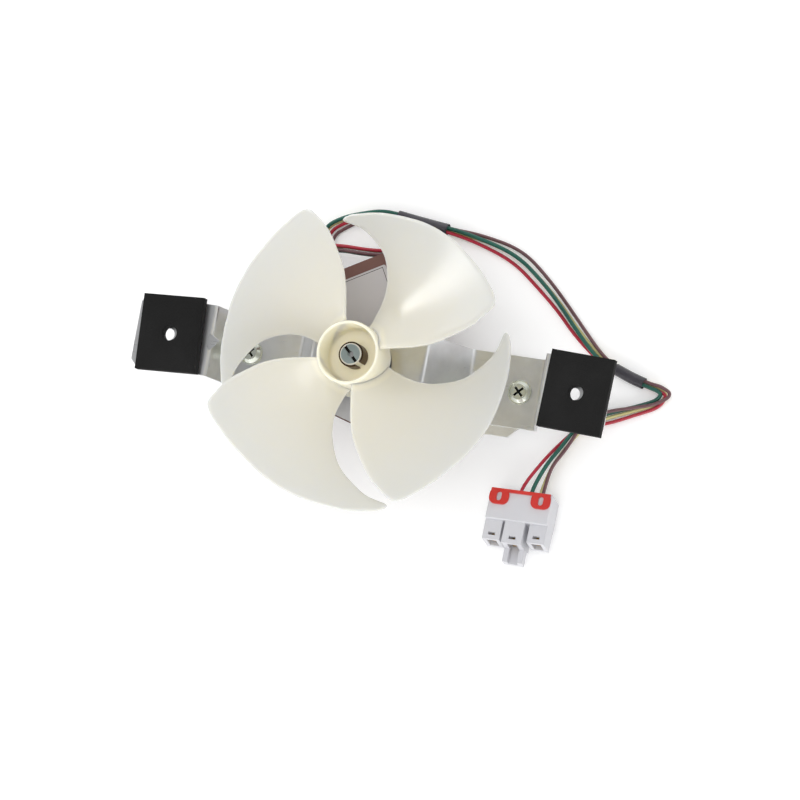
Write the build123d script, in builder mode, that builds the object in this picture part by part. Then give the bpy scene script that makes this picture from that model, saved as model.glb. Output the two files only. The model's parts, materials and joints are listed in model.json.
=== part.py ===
from build123d import *
from math import cos, hypot, radians, sin, tan
import os

# Refrigerator fan: a four-blade propeller on a small motor, slung between two bent brackets.
# Millimetres. Z = 0 is the back face of the rear bracket; the spin axis is x = y = 0, +Z to the front.

os.makedirs("parts", exist_ok=True)

# Sheet brackets
SHEET = 1.0
BEND = 1.0
STRIP_WIDTH = 26.6
TAB_REACH = 91.4
TAB_BEND = 61.5
TAB_FOOT = 59.3
TAB_TOP = 32.7
FLAT_TOP = 11.6
CROWN_FOOT = 33.0
CROWN_REACH = 22.0
CROWN_TOP = 34.5
RIGHT_FOOT = 60.6
RIGHT_BEND = 65.8
TAB_HOLE_X = TAB_REACH - 13.0
TAB_HOLE_R = 2.25
TAB_CORNER = 2.3
SCREW_X = 52.7
SCREW_HOLE_R = 2.15
REAR_WIDTH = 30.5
REAR_SHIFT = -1.75
REAR_FLAT = 24.0
REAR_RISE = 36.0
EAR_MARGIN = 5.3
REAR_REACH = SCREW_X + EAR_MARGIN
REAR_CHAMFER = 7.5

# Pads
PAD_LENGTH = 23.8
PAD_WIDTH = 28.4
PAD_THICK = 4.0
PAD_HOLE_R = 2.75
LEFT_PAD = (14.5 - TAB_REACH, 0.1)
RIGHT_PAD = (TAB_REACH - 11.5, 0.15)
LEFT_PAD_TURN = 3.25
RIGHT_PAD_TURN = -2.0
DART = ((-0.7, 2.6), (3.3, 0.4), (-0.1, -3.8), (-2.7, -0.4))
DART_HIGH = 0.4

# Screws
HEAD_R = 4.5
HEAD_HIGH = 2.2
WASHER_HIGH = 0.7
SHANK_R = 2.0
SHANK_OUT = 2.0
CROSS_LONG = 4.4
CROSS_WIDE = 0.9
CROSS_DEEP = 1.4

# Motor, drawn in its own turned frame
MOTOR_TURN = 29.2
MOTOR_BACK = 4.0
MOTOR_FRONT = 25.0
BODY_INRADIUS = 22.4
BODY_CORNER = 31.7
BOX_RIGHT = 17.2
BOX_LEFT = 15.2
BOX_TOP = 39.05
WALL = 1.6
COVER_HIGH = 1.2
BOSS_R = 5.5
BOSS_TOP = 36.5
CUSHION_FLANGE_R = 9.25
CUSHION_FLANGE = 1.2
CROWN_HOLE_R = 7.7
INNER_FLANGE_R = 11.0
INNER_FLANGE = 2.4
REAR_HOLE_R = 6.0
SHAFT_R = 1.5
RUNNING_FIT = 0.05
ROTOR_R = 10.0
AIR_GAP = 0.6

# Motor insides
COVER_EDGE = 10.0
BEARING_R = 4.5
BEARING_LONG = 5.0
REAR_BEARING_LONG = 3.0
REAR_COVER = 1.2
CORE_LOW = 10.0
CORE_HIGH = 8.0
CORE_R = 15.5
LEG_X = 11.0
LEG_WIDE = 4.0
BAR_Y = 31.75
BAR_WIDE = 4.5
SPOOL_HALF = 8.4
SPOOL_WALL = 1.0
COIL_Y = 11.0
COIL_Z = 14.8
SPOOL_Y = BAR_WIDE + 2 * SPOOL_WALL
SPOOL_Z = CORE_HIGH + 2 * SPOOL_WALL
BOARD_THICK = 1.2
BOARD_Y = 24.5
BOARD_LONG = 24.0
GROMMET_Y = 25.3
GROMMET_OUT = 2.5
WIRE_EXIT_Z = 12.0
ROTOR_LOW = 9.0
ROTOR_LONG = 12.0
WASHER = 0.7
END_PLAY = 0.1
SLEEVE_R = 3.0
SLEEVE_TOP = BOSS_TOP - 1 - BEARING_LONG - END_PLAY - WASHER
LABEL_Y = 23.4
LABEL_LONG = 22.8
LABEL_THICK = 0.2
LABEL_SHIFT = 0.2

# Propeller
HUB_CLEAR = 6.9
HUB_R = 11.65
HUB_HIGH = 16.6
HUB_BASE = BOSS_TOP + HUB_CLEAR
RIM_TOP = HUB_BASE + HUB_HIGH
RECESS_R = 10.4
RECESS_DEEP = 11.5
HUB_LEDGE = RIM_TOP - RECESS_DEEP
HUB_FLOOR = 1.8
COLLAR_R = 4.0
COLLAR_TOP = RIM_TOP - 4.2
CLIP_WALL = 0.6
CLIP_HIGH = 6.6
CLIP_GAP = 1.8
DISC_R = 3.6
DISC_HIGH = 1.6
DISC_SLOT = 1.1
DISC_HOLE_R = 1.15
SHAFT_END = COLLAR_TOP - DISC_HIGH
RIB_INSET = 0.6
BLADE_DEPTH = 30.0
RIB_COUNT = 6
RIB_WIDE = 1.0
BLADE_THICK = 1.4
BLADE_DROP = 2.9
BLADE_PITCH = 0.2395
BLADE_CAMBER = 3.0
BLADE_EASE = 1.6
BLADE_START = 26.4
BLADE_SWEEP = 83.1
TIP_R = 55.0
# Plan of one blade: shares of the way from the hub's wall to the tip circle, with angles
LEADING = ((-0.015, 82), (0.1, 77.5), (0.262, 76.5), (0.446, 81), (0.654, 88.8), (0.839, 99.5), (0.982, 108.8))
OUTER = ((0.993, 108.2), (0.977, 90), (0.958, 70), (0.958, 50), (0.982, 35), (0.998, 29.5))
CORNER = (0.991, 27)
TRAILING = (
    (0.963, 25.2), (0.839, 21.3), (0.746, 19.3), (0.608, 16.9), (0.469, 14.2), (0.308, 12.8), (0.146, 13.5),
    (-0.015, 17),
)
STOCK_RIM = 0.08
STOCK_COUNT = 11
STOCK_FROM = 4.0
STOCK_SWEEP = 109.0

# Plug
PLUG_X = 60.1
PLUG_Y = -38.0
PLUG_YAW = 1.5
PLUG_PITCH = 12.0
PLUG_HALF = 11.7
PLUG_BODY = 12.0
PLUG_HIGH = 12.0
BARREL_LOW = 1.0
BARREL_HIGH = 9.5
SIDE_BARREL = 6.6
LEFT_OUT = 7.4
RIGHT_OUT = 6.9
MID_X = -0.2
MID_BARREL = 7.6
MID_OUT = 8.4
MID_RAISED = 1.0
LIP_OUT = 5.2
LIP_TOP = 5.0
LATCH_WIDE = 6.0
LATCH_DEEP = 3.1
POCKET = 3.6
POCKET_LOW = 2.6
POCKET_DEEP = 8.0
SLOT_WIDE = 2.6
SLOT_LONG = 1.1
SLOT_BACK = 2.7
TERMINAL = 2.2
TERMINAL_LOW = 3.4
TERMINAL_LONG = 6.6
RETAINER_HIGH = 0.8
BAR_FROM = 0.4
BAR_LONG = 1.2
LOOPS = ((-7.9, 7.4), (7.9, 7.4))
LOOP_LONG = 6.0
LOOP_CORNER = 2.4

# Harness
THIN_WIRE_R = 0.65
THICK_WIRE_R = 0.75
SLEEVE_OUT = 4.3
SLEEVE_WALL = 0.15
# Share of the shorter neighbouring run that a bend takes up
HOLD_BACK = 0.45

# Middle lines of the four wires, from the motor's grommet to the plug
RED_ROUTE = (
    (5.3, 31, 12.8), (9.9, 33.6, 12.8), (11.3, 40.6, 12.8), (6.6, 46.3, 12.8), (-3.5, 45.4, 12.8),
    (-14.4, 44.4, 12.4), (-26.7, 45.1, 10.8), (-38.6, 43.5, 8.6), (-47.1, 36.5, 6.3),
    (-47.4, 26.5, 4.1), (-39.1, 19, 2.4), (-30.8, 25.4, 1.1), (-31.2, 34.7, 0.9),
    (-34.6, 43.4, 0.8), (-34.4, 51.2, 0.8), (-28.2, 55.4, 1.6), (-20.7, 57.4, 3.7), (-15, 59, 3.6),
    (-10.1, 59.4, 2.8), (1.5, 57.8, 2.8), (13.2, 56.4, 2.8), (24.1, 54.2, 1.3), (38.8, 49.1, 0.8),
    (49.9, 40.5, 0.8), (58.4, 33.5, 1), (67.5, 26.6, 2.2), (76.8, 19.6, 2.6), (82.9, 16.4, 2.8),
    (91, 13.4, 2.8), (97.8, 11.4, 2.8), (102.9, 10, 3), (106, 4, 1.8), (103.4, -3, 1.1),
    (93.5, -4.5, 0.8), (85.4, -6.4, 0.8), (78.3, -7.3, 0.8), (73.3, -9.3, 0.9), (67.9, -16.7, 3.4),
    (63.4, -22.4, 6.3), (59, -30.7, 7.9), (59.15, -36.01, 8.98),
)
GREEN_ROUTE = (
    (4.5, 32.4, 11.2), (8.5, 34.7, 11.2), (9.5, 40.2, 11.2), (5.9, 44.6, 11.2), (-3.3, 43.8, 11.2),
    (-14.4, 42.8, 10.8), (-26.7, 43.5, 9.2), (-37.8, 41.7, 7.4), (-44.9, 35.5, 5.7),
    (-45, 27.5, 4.3), (-38.9, 21.8, 3.2), (-32.4, 26.2, 2.7), (-32.9, 34.4, 2.9),
    (-36.6, 43.1, 2.5), (-36.4, 52.3, 2.4), (-29.1, 57, 2.9), (-21.4, 59.2, 4.2),
    (-15.4, 60.9, 3.9), (-10.1, 61.1, 2.9), (1.8, 59.4, 2.9), (13.4, 58, 2.9), (24.4, 56, 2.5),
    (40, 51.6, 2.5), (51.7, 42.7, 2.5), (59.8, 35, 2.6), (67.3, 26.4, 3.9), (75.7, 18.1, 3),
    (82.3, 15, 2.9), (90.5, 11.8, 2.9), (97.4, 9.9, 2.9), (101.7, 8.7, 2.8), (104.2, 4.1, 2.4),
    (101.7, -0.7, 2), (93.1, -1.6, 0.9), (84.5, -3, 0.9), (77.3, -5.6, 2.6), (73.4, -9.4, 2.9),
    (69.7, -17.6, 5), (66.5, -23.8, 7.4), (63, -30.6, 7.9), (63.15, -35.91, 8.98),
)
YELLOW_ROUTE = (
    (5.3, 31, 11.2), (9.9, 33.6, 11.2), (11.3, 40.6, 11.2), (6.6, 46.3, 11.2), (-3.5, 45.4, 11.2),
    (-14.4, 44.4, 10.8), (-26.7, 45.1, 9.2), (-38.5, 43.2, 7), (-46.3, 36.2, 4.9), (-46.1, 27, 3.1),
    (-39, 21, 1.7), (-32.4, 26.2, 1.1), (-32.8, 34.4, 0.8), (-36.3, 43.1, 0.8), (-36.3, 52.2, 0.8),
    (-28.9, 56.6, 1.2), (-21.2, 58.7, 2.5), (-15.1, 59.5, 1.9), (-10.1, 59.7, 1.2),
    (1.6, 58.1, 1.2), (13.3, 56.7, 1.2), (24.4, 56, 0.8), (40, 51.6, 0.8), (51.7, 42.7, 0.8),
    (60.1, 35.2, 0.8), (68, 27, 0.8), (75.7, 18, 1.1), (82.3, 14.9, 1.2), (90.5, 11.8, 1.2),
    (97.3, 9.8, 1.2), (101.7, 8.7, 0.9), (104.8, 4, 0.8), (102.5, -1.8, 0.8), (93.3, -3.1, 0.8),
    (84.9, -4.6, 0.8), (78.1, -7, 2.4), (74.8, -10.5, 2.3), (70.5, -18, 2.6), (67.2, -24.1, 3.6),
    (65.1, -31.5, 3.6), (65.27, -36.77, 4.67),
)
BROWN_ROUTE = (
    (4.5, 32.4, 12.8), (8.5, 34.7, 12.8), (9.5, 40.2, 12.8), (5.9, 44.6, 12.8), (-3.3, 43.8, 12.8),
    (-14.4, 42.8, 12.4), (-26.7, 43.5, 10.8), (-37.9, 42, 9), (-45.7, 35.8, 7.1), (-46.3, 27, 5.3),
    (-39, 19.8, 3.9), (-30.8, 25.4, 2.7), (-30.4, 34.8, 2.5), (-32.7, 43.7, 1), (-32.5, 50.1, 0.8),
    (-27.4, 53.8, 0.8), (-21, 58.1, 0.8), (-15.4, 61, 0.8), (-10.1, 61.1, 1.2), (1.8, 59.5, 1.2),
    (13.4, 58.1, 1.2), (24.7, 57.5, 0.8), (41.3, 54, 0.8), (53.2, 44.5, 0.8), (61.4, 36.5, 0.8),
    (69.3, 28.3, 0.8), (76.9, 19.7, 1.1), (82.8, 16.2, 1.2), (90.9, 13.1, 1.2), (97.7, 11.1, 1.2),
    (103.7, 10.9, 1.4), (107.7, 4, 2.9), (103, -2.4, 3.7), (93.2, -2.2, 2.9), (84.5, -3.2, 2.8),
    (77.2, -5.4, 4.4), (74.8, -10.5, 4.2), (71.7, -18.6, 4.6), (69.8, -25.3, 6.9),
    (67.3, -30.5, 7.9), (67.44, -35.8, 8.98),
)
UPPER_SLEEVE_ROUTE = (
    (-8.2, 60.2, 2.2), (1.7, 58.8, 2.2), (11.8, 57.6, 2.2),
)
LOWER_SLEEVE_ROUTE = (
    (84.3, 14.8, 2.2), (90.7, 12.4, 2.2), (96, 10.9, 2.2),
)


def motor_frame(z):
    """The plane across the motor at height z, in the motor's own turned frame."""
    along = (cos(radians(MOTOR_TURN)), sin(radians(MOTOR_TURN)), 0)
    return Plane(origin=(0, 0, z), x_dir=along, z_dir=(0, 0, 1))


def save(builder, node):
    """Label one sub-part with its node name and write its STEP file."""
    builder.part.label = node
    export_step(builder.part, f"parts/{node}.step")


# Front bracket: tab, riser, flat, riser, crown and the same again
with BuildPart() as front_bracket:
    with BuildSketch(Plane.XZ):
        with BuildLine():
            top_line = FilletPolyline(
                (-TAB_REACH, TAB_TOP),
                (-TAB_BEND, TAB_TOP),
                (-TAB_FOOT, FLAT_TOP),
                (-CROWN_FOOT, FLAT_TOP),
                (-CROWN_REACH, CROWN_TOP),
                (CROWN_REACH, CROWN_TOP),
                (CROWN_FOOT, FLAT_TOP),
                (RIGHT_FOOT, FLAT_TOP),
                (RIGHT_BEND, TAB_TOP),
                (TAB_REACH, TAB_TOP),
                radius=BEND + SHEET,
            )
            offset(amount=SHEET, side=Side.RIGHT)
        make_face()
    extrude(amount=STRIP_WIDTH / 2, both=True)
    tab_ends = front_bracket.edges().filter_by(Axis.Z)
    chamfer(tab_ends, length=TAB_CORNER)
    with BuildSketch(Plane.XY):
        with Locations((-TAB_HOLE_X, 0), (TAB_HOLE_X, 0)):
            Circle(TAB_HOLE_R)
        with Locations((-SCREW_X, 0), (SCREW_X, 0)):
            Circle(SCREW_HOLE_R)
        Circle(CROWN_HOLE_R)
    extrude(amount=CROWN_TOP + SHEET, mode=Mode.SUBTRACT)
    with BuildSketch(Plane.XY.offset(TAB_TOP)):
        Polygon(*[(x - TAB_BEND, y) for x, y in DART], align=None)
    extrude(amount=DART_HIGH, taper=45)
save(front_bracket, "front_bracket")

# Rear bracket: a shallow hat whose ears lie under the front bracket's flats
with BuildPart() as rear_bracket:
    with BuildSketch(Plane.XZ) as rear_section:
        with BuildLine():
            FilletPolyline(
                (-REAR_REACH, FLAT_TOP - 2 * SHEET),
                (-REAR_RISE, FLAT_TOP - 2 * SHEET),
                (-REAR_FLAT, 0),
                (REAR_FLAT, 0),
                (REAR_RISE, FLAT_TOP - 2 * SHEET),
                (REAR_REACH, FLAT_TOP - 2 * SHEET),
                radius=BEND,
            )
            offset(amount=SHEET, side=Side.LEFT)
        make_face()
    extrude(amount=REAR_WIDTH / 2 - REAR_SHIFT)
    extrude(rear_section.sketch, amount=-(REAR_WIDTH / 2 + REAR_SHIFT))
    ear_ends = rear_bracket.edges().filter_by(Axis.Z)
    chamfer(ear_ends, length=REAR_CHAMFER)
    with BuildSketch(Plane.XY):
        with Locations((-SCREW_X, 0), (SCREW_X, 0)):
            Circle(SHANK_R + RUNNING_FIT)
        Circle(REAR_HOLE_R)
    extrude(amount=FLAT_TOP, mode=Mode.SUBTRACT)
save(rear_bracket, "rear_bracket")

# Two cross-recessed screws with a washer face
with BuildPart() as bracket_screws:
    with Locations((-SCREW_X, 0, FLAT_TOP), (SCREW_X, 0, FLAT_TOP)):
        Cylinder(HEAD_R, WASHER_HIGH, align=(Align.CENTER, Align.CENTER, Align.MIN))
    with Locations((-SCREW_X, 0, FLAT_TOP + WASHER_HIGH), (SCREW_X, 0, FLAT_TOP + WASHER_HIGH)):
        Cone(HEAD_R - 0.5, HEAD_R - 1.6, HEAD_HIGH - WASHER_HIGH, align=(Align.CENTER, Align.CENTER, Align.MIN))
    with BuildSketch(Plane.XY.offset(FLAT_TOP + HEAD_HIGH)):
        with Locations((-SCREW_X, 0), (SCREW_X, 0)):
            Rectangle(CROSS_LONG, CROSS_WIDE, rotation=45)
            Rectangle(CROSS_LONG, CROSS_WIDE, rotation=-45)
    extrude(amount=-CROSS_DEEP, taper=12, mode=Mode.SUBTRACT)
    with Locations((-SCREW_X, 0, FLAT_TOP), (SCREW_X, 0, FLAT_TOP)):
        Cylinder(SHANK_R, 2 * SHEET + SHANK_OUT, align=(Align.CENTER, Align.CENTER, Align.MAX))
save(bracket_screws, "bracket_screws")

# Foam pads glued on the tabs' front faces
with BuildPart() as left_pad:
    with BuildSketch(Plane.XY.offset(TAB_TOP)):
        with Locations(LEFT_PAD):
            Rectangle(PAD_LENGTH, PAD_WIDTH, rotation=LEFT_PAD_TURN)
            Circle(PAD_HOLE_R, mode=Mode.SUBTRACT)
    extrude(amount=PAD_THICK)
save(left_pad, "left_pad")

with BuildPart() as right_pad:
    with BuildSketch(Plane.XY.offset(TAB_TOP)):
        with Locations(RIGHT_PAD):
            Rectangle(PAD_LENGTH, PAD_WIDTH, rotation=RIGHT_PAD_TURN)
            Circle(PAD_HOLE_R, mode=Mode.SUBTRACT)
    extrude(amount=PAD_THICK)
save(right_pad, "right_pad")

# Rubber cushions that carry the motor's two bosses in the brackets
with BuildPart() as front_cushion:
    with BuildSketch(Plane.XZ):
        with BuildLine():
            Polyline(
                (BOSS_R, CROWN_TOP - SHEET - INNER_FLANGE),
                (INNER_FLANGE_R, CROWN_TOP - SHEET - INNER_FLANGE),
                (INNER_FLANGE_R, CROWN_TOP - SHEET),
                (CROWN_HOLE_R, CROWN_TOP - SHEET),
                (CROWN_HOLE_R, CROWN_TOP),
                (CUSHION_FLANGE_R, CROWN_TOP),
                (CUSHION_FLANGE_R, CROWN_TOP + CUSHION_FLANGE),
                (BOSS_R, CROWN_TOP + CUSHION_FLANGE),
                close=True,
            )
        make_face()
    revolve(axis=Axis.Z)
save(front_cushion, "front_cushion")

with BuildPart() as rear_cushion:
    with BuildSketch(Plane.XZ):
        with BuildLine():
            Polyline(
                (0, 0),
                (REAR_HOLE_R, 0),
                (REAR_HOLE_R, SHEET),
                (INNER_FLANGE_R, SHEET),
                (INNER_FLANGE_R, MOTOR_BACK),
                (0, MOTOR_BACK),
                close=True,
            )
        make_face()
    revolve(axis=Axis.Z)
save(rear_cushion, "rear_cushion")


def body_points(inset=0.0):
    """Corners of the motor body's octagon, taken in by an inset."""
    flat = BODY_INRADIUS - inset
    corner = BODY_CORNER - inset * 2 ** 0.5 - flat
    return [
        (flat, -corner),
        (flat, corner),
        (corner, flat),
        (-corner, flat),
        (-flat, corner),
        (-flat, -corner),
        (-corner, -flat),
        (corner, -flat),
    ]


# Motor: a brown moulded housing with a tall box for the coil and the circuit
with BuildPart() as motor_housing:
    with BuildSketch(motor_frame(MOTOR_BACK)):
        Polygon(*body_points(), align=None)
        with Locations(((BOX_RIGHT - BOX_LEFT) / 2, BOX_TOP / 2)):
            Rectangle(BOX_LEFT + BOX_RIGHT, BOX_TOP)
    extrude(amount=MOTOR_FRONT - MOTOR_BACK)
    with BuildSketch(motor_frame(MOTOR_BACK + WALL)):
        Polygon(*body_points(WALL), align=None)
        with Locations(((BOX_RIGHT - BOX_LEFT) / 2, (BOX_TOP - WALL) / 2)):
            Rectangle(BOX_LEFT + BOX_RIGHT - 2 * WALL, BOX_TOP - WALL)
    extrude(amount=MOTOR_FRONT - MOTOR_BACK - 2 * WALL, mode=Mode.SUBTRACT)
    with BuildSketch(motor_frame(MOTOR_BACK)):
        Circle(ROTOR_R + AIR_GAP + 0.4)
    extrude(amount=MOTOR_FRONT - MOTOR_BACK, mode=Mode.SUBTRACT)
save(motor_housing, "motor_housing")

# Steel covers with bearing bosses
with BuildPart() as motor_front_cover:
    with BuildSketch(motor_frame(MOTOR_FRONT)):
        Polygon(*body_points(0.4), align=None)
        with Locations((0, BOX_TOP / 2 + COVER_EDGE)):
            Rectangle(3 * BOX_RIGHT, BOX_TOP, mode=Mode.SUBTRACT)
        Circle(CUSHION_FLANGE_R + 1)
    extrude(amount=COVER_HIGH)
    with BuildSketch(Plane.XY.offset(MOTOR_FRONT)):
        Circle(BOSS_R)
    extrude(amount=BOSS_TOP - MOTOR_FRONT)
    with BuildSketch(Plane.XY.offset(MOTOR_FRONT)):
        Circle(BOSS_R - 1)
    extrude(amount=BOSS_TOP - MOTOR_FRONT - 1, mode=Mode.SUBTRACT)
    with BuildSketch(Plane.XY.offset(MOTOR_FRONT)):
        Circle(SHAFT_R + 0.4)
    extrude(amount=BOSS_TOP - MOTOR_FRONT, mode=Mode.SUBTRACT)
save(motor_front_cover, "motor_front_cover")

with BuildPart() as motor_rear_cover:
    with BuildSketch(Plane.XY.offset(MOTOR_BACK)):
        Circle(ROTOR_R + AIR_GAP + 0.4)
    extrude(amount=REAR_COVER)
    with BuildSketch(Plane.XY.offset(MOTOR_BACK + REAR_COVER)):
        Circle(BEARING_R + 1)
        Circle(BEARING_R, mode=Mode.SUBTRACT)
    extrude(amount=REAR_BEARING_LONG)
save(motor_rear_cover, "motor_rear_cover")

with BuildPart() as front_bearing:
    with BuildSketch(Plane.XY.offset(BOSS_TOP - 1 - BEARING_LONG)):
        Circle(BOSS_R - 1)
        Circle(SHAFT_R + RUNNING_FIT, mode=Mode.SUBTRACT)
    extrude(amount=BEARING_LONG)
save(front_bearing, "front_bearing")

with BuildPart() as rear_bearing:
    with BuildSketch(Plane.XY.offset(MOTOR_BACK + REAR_COVER)):
        Circle(BEARING_R)
        Circle(SHAFT_R + RUNNING_FIT, mode=Mode.SUBTRACT)
    extrude(amount=REAR_BEARING_LONG)
save(rear_bearing, "rear_bearing")

# Stator: one leg frame round the rotor, closed by a bar that carries the coil
with BuildPart() as stator_core:
    with BuildSketch(motor_frame(CORE_LOW)):
        Circle(CORE_R)
        Rectangle(2 * (BODY_INRADIUS - WALL), 8)
        with Locations((-LEG_X, BAR_Y / 2), (LEG_X, BAR_Y / 2)):
            Rectangle(LEG_WIDE, BAR_Y + BAR_WIDE)
        with Locations((0, BAR_Y)):
            Rectangle(2 * LEG_X, BAR_WIDE)
        Circle(ROTOR_R + AIR_GAP, mode=Mode.SUBTRACT)
    extrude(amount=CORE_HIGH)
save(stator_core, "stator_core")


def round_the_bar(half_x, size_y, size_z, bore_y, bore_z):
    """A block round the stator's bar with a rectangular bore, both centred on the bar."""
    place = motor_frame(CORE_LOW + CORE_HIGH / 2)
    with Locations(place * Location((0, BAR_Y, 0))):
        Box(2 * half_x, size_y, size_z)
        Box(2 * half_x, bore_y, bore_z, mode=Mode.SUBTRACT)


with BuildPart() as stator_insulator:
    round_the_bar(SPOOL_HALF, SPOOL_Y, SPOOL_Z, BAR_WIDE, CORE_HIGH)
save(stator_insulator, "stator_insulator")

with BuildPart() as stator_coils:
    round_the_bar(SPOOL_HALF - 1, COIL_Y, COIL_Z, SPOOL_Y, SPOOL_Z)
    fillet(stator_coils.edges().filter_by(Plane.XY, reverse=True).group_by(SortBy.LENGTH)[-1], radius=0.4)
save(stator_coils, "stator_coils")

with BuildPart() as circuit_board:
    with BuildSketch(motor_frame(MOTOR_FRONT - WALL - BOARD_THICK)):
        with Locations(((BOX_RIGHT - BOX_LEFT) / 2, BOARD_Y)):
            Rectangle(BOX_LEFT + BOX_RIGHT - 2 * WALL - 1, BOARD_LONG)
    extrude(amount=BOARD_THICK)
save(circuit_board, "circuit_board")

with BuildPart() as motor_label:
    with BuildSketch(motor_frame(MOTOR_FRONT)):
        with Locations(((BOX_RIGHT - BOX_LEFT) / 2 + LABEL_SHIFT, LABEL_Y)):
            RectangleRounded(BOX_LEFT + BOX_RIGHT - 2.4, LABEL_LONG, 0.8)
    extrude(amount=LABEL_THICK)
save(motor_label, "motor_label")

with BuildPart() as wire_grommet:
    exit_face = motor_frame(WIRE_EXIT_Z) * Location((BOX_RIGHT + GROMMET_OUT / 2, GROMMET_Y, 0))
    with Locations(exit_face):
        Box(GROMMET_OUT, 7, 7)
    fillet(wire_grommet.edges().filter_by(Axis.Z), radius=0.8)
save(wire_grommet, "wire_grommet")

# Rotor: magnet on a sleeve, washers each end, all on the shaft
with BuildPart() as motor_shaft:
    with BuildSketch(Plane.XY.offset(MOTOR_BACK + REAR_COVER + 2 * END_PLAY)):
        Circle(SHAFT_R)
    extrude(amount=SHAFT_END - MOTOR_BACK - REAR_COVER - 2 * END_PLAY)
    chamfer(motor_shaft.edges().group_by(Axis.Z)[0], length=0.3)
save(motor_shaft, "motor_shaft")

with BuildPart() as rotor_sleeve:
    with BuildSketch(Plane.XY.offset(ROTOR_LOW)):
        Circle(SLEEVE_R)
        Circle(SHAFT_R, mode=Mode.SUBTRACT)
    extrude(amount=SLEEVE_TOP - ROTOR_LOW)
save(rotor_sleeve, "rotor_sleeve")

with BuildPart() as rotor_magnet:
    with BuildSketch(Plane.XY.offset(ROTOR_LOW)):
        Circle(ROTOR_R)
        Circle(SLEEVE_R, mode=Mode.SUBTRACT)
    extrude(amount=ROTOR_LONG)
save(rotor_magnet, "rotor_magnet")

with BuildPart() as thrust_washers:
    for washer_low in (ROTOR_LOW - WASHER, SLEEVE_TOP):
        with BuildSketch(Plane.XY.offset(washer_low)):
            Circle(SLEEVE_R)
            Circle(SHAFT_R, mode=Mode.SUBTRACT)
        extrude(amount=WASHER)
save(thrust_washers, "thrust_washers")

# Propeller: a cupped hub and four curved blades in one moulding


def flat_point(r, angle):
    """A point of the plan view from a radius and an angle in degrees."""
    return (r * cos(radians(angle)), r * sin(radians(angle)))


def plan_point(share, angle):
    """A point of the plan view from its share of the way from the hub's wall to the tip circle."""
    return flat_point(HUB_R + share * (TIP_R - HUB_R), angle)


def blade_level(r, angle):
    """Height of a blade's middle surface: a helical fall with a belly, eased to stay below the rim."""
    run = (angle - BLADE_START) / BLADE_SWEEP
    belly = BLADE_CAMBER * (r / TIP_R) ** 2 * 4 * run * (1 - run)
    half_fall = (BLADE_DROP + BLADE_PITCH * (angle - BLADE_START) + belly) / 2
    return RIM_TOP - half_fall - hypot(half_fall, BLADE_EASE)


with BuildPart() as blade_stock:
    reach = TIP_R - HUB_R
    shares = [k / (STOCK_COUNT - 1) * (1 + 2 * STOCK_RIM) - STOCK_RIM for k in range(STOCK_COUNT)]
    angles = [STOCK_FROM + STOCK_SWEEP * k / (STOCK_COUNT - 1) for k in range(STOCK_COUNT)]
    lattice = [
        [Vector(*plan_point(share, a), blade_level(HUB_R + share * reach, a)) for a in angles] for share in shares
    ]
    middle = Face.make_surface_from_array_of_points(lattice)
    thicken(middle, amount=BLADE_THICK / 2, both=True)
    with BuildSketch(Plane.XY.offset(RIM_TOP - BLADE_DEPTH)):
        with BuildLine():
            lead = Spline(*[plan_point(*p) for p in LEADING])
            rim = Spline(*[plan_point(*p) for p in OUTER])
            trail = Spline(*[plan_point(*p) for p in TRAILING])
            Line(lead @ 1, rim @ 0)
            ThreePointArc(rim @ 1, plan_point(*CORNER), trail @ 0)
            Line(trail @ 1, lead @ 0)
        make_face()
    extrude(amount=BLADE_DEPTH + BLADE_THICK, mode=Mode.INTERSECT)

with BuildPart() as impeller:
    with BuildSketch(Plane.XZ):
        with BuildLine():
            Polyline(
                (0, HUB_LEDGE - HUB_FLOOR),
                (RECESS_R, HUB_LEDGE - HUB_FLOOR),
                (RECESS_R, HUB_BASE),
                (HUB_R, HUB_BASE),
                (HUB_R, RIM_TOP),
                (RECESS_R, RIM_TOP),
                (RECESS_R, HUB_LEDGE),
                (0, HUB_LEDGE),
                close=True,
            )
        make_face()
    revolve(axis=Axis.Z)
    fillet(impeller.edges().group_by(Axis.Z)[-1], radius=0.4)
    with BuildSketch(Plane.XY.offset(HUB_BASE)):
        Circle(COLLAR_R)
    extrude(amount=COLLAR_TOP - HUB_BASE)
    with BuildSketch(Plane.XY.offset(HUB_BASE + RIB_INSET)):
        with PolarLocations((COLLAR_R + RECESS_R) / 2, RIB_COUNT):
            Rectangle(RECESS_R - COLLAR_R + RIB_WIDE, RIB_WIDE)
    extrude(amount=HUB_LEDGE - HUB_FLOOR - HUB_BASE - RIB_INSET)
    with PolarLocations(0, 4):
        add(blade_stock.part)
    with BuildSketch(Plane.XY.offset(HUB_BASE)):
        Circle(SHAFT_R)
    extrude(amount=SHAFT_END - HUB_BASE, mode=Mode.SUBTRACT)
    with BuildSketch(Plane.XY.offset(COLLAR_TOP - DISC_HIGH)):
        Circle(DISC_R)
    extrude(amount=DISC_HIGH, mode=Mode.SUBTRACT)
save(impeller, "impeller")

# Slotted steel disc let into the collar's top, and the spring clip round the collar
with BuildPart() as hub_disc:
    with BuildSketch(Plane.XY.offset(COLLAR_TOP - DISC_HIGH)):
        Circle(DISC_R)
        Circle(DISC_HOLE_R, mode=Mode.SUBTRACT)
    extrude(amount=DISC_HIGH)
    with BuildSketch(Plane.XY.offset(COLLAR_TOP)):
        Rectangle(2 * DISC_R + 1, DISC_SLOT, rotation=-45)
    extrude(amount=-DISC_HIGH / 2, mode=Mode.SUBTRACT)
save(hub_disc, "hub_disc")

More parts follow.
